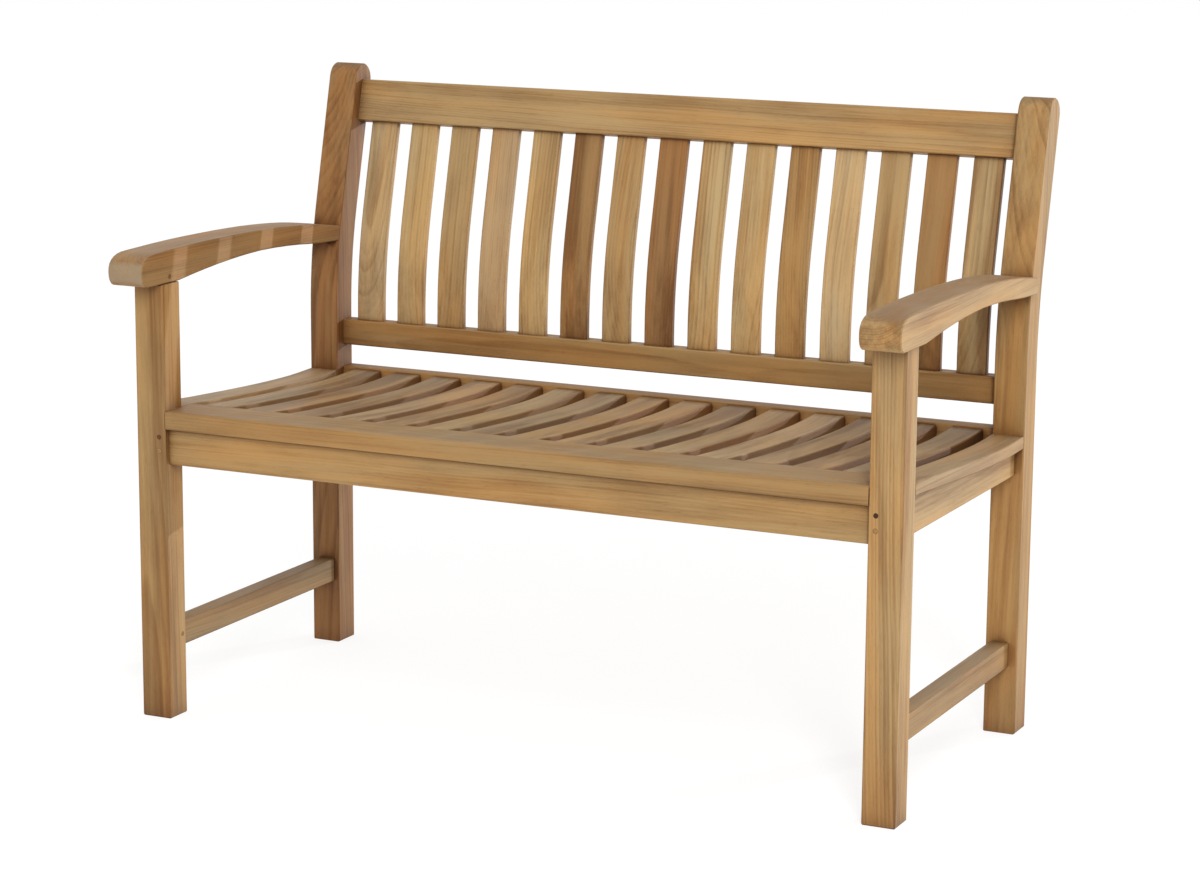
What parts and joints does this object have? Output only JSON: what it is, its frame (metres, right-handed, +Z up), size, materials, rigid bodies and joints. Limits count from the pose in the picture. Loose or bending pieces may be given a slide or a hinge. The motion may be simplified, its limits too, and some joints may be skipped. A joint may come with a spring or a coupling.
{
  "type": "garden bench",
  "caption": "Slatted wooden two-seat garden bench with an upright slatted back that leans backwards, a dished seat and curved armrests.",
  "frame": {"origin": "on the floor, midway between the two sides and midway from the armrest noses to the backs of the post tops", "axes": "+X along the bench to the right as seen from the front, +Y from the front to the back, +Z up"},
  "size_m": [1.2, 0.6549, 0.9176],
  "materials": {
    "teak_frame": "bare sanded teak",
    "teak_back": "bare sanded teak",
    "teak_seat": "bare sanded teak",
    "teak_peg": "end grain, bare"
  },
  "bodies": {
    "root": {"front_leg_left": "teak_frame", "front_leg_right": "teak_frame", "back_post_left": "teak_frame", "back_post_right": "teak_frame", "armrest_left": "teak_frame", "armrest_right": "teak_frame", "side_seat_rail_left": "teak_frame", "side_seat_rail_right": "teak_frame", "side_stretcher_left": "teak_frame", "side_stretcher_right": "teak_frame", "seat_end_slat_left": "teak_seat", "seat_end_slat_right": "teak_seat", "crest_rail": "teak_back", "lower_back_rail": "teak_back", "rear_seat_rail": "teak_frame", "front_seat_rail": "teak_frame", "front_seat_board": "teak_seat", "back_slat_01": "teak_back", "seat_slat_01": "teak_seat", "back_slat_02": "teak_back", "seat_slat_02": "teak_seat", "back_slat_03": "teak_back", "seat_slat_03": "teak_seat", "back_slat_04": "teak_back", "seat_slat_04": "teak_seat", "back_slat_05": "teak_back", "seat_slat_05": "teak_seat", "back_slat_06": "teak_back", "seat_slat_06": "teak_seat", "back_slat_07": "teak_back", "seat_slat_07": "teak_seat", "back_slat_08": "teak_back", "seat_slat_08": "teak_seat", "back_slat_09": "teak_back", "seat_slat_09": "teak_seat", "back_slat_10": "teak_back", "seat_slat_10": "teak_seat", "back_slat_11": "teak_back", "seat_slat_11": "teak_seat", "back_slat_12": "teak_back", "seat_slat_12": "teak_seat", "back_slat_13": "teak_back", "seat_slat_13": "teak_seat", "back_slat_14": "teak_back", "seat_slat_14": "teak_seat", "back_slat_15": "teak_back", "seat_slat_15": "teak_seat", "rail_peg_upper_left": "teak_peg", "rail_peg_upper_right": "teak_peg", "rail_peg_lower_left": "teak_peg", "rail_peg_lower_right": "teak_peg", "arm_peg_left": "teak_peg", "arm_peg_right": "teak_peg", "stretcher_peg_left": "teak_peg", "stretcher_peg_right": "teak_peg"}
  },
  "joints": []
}
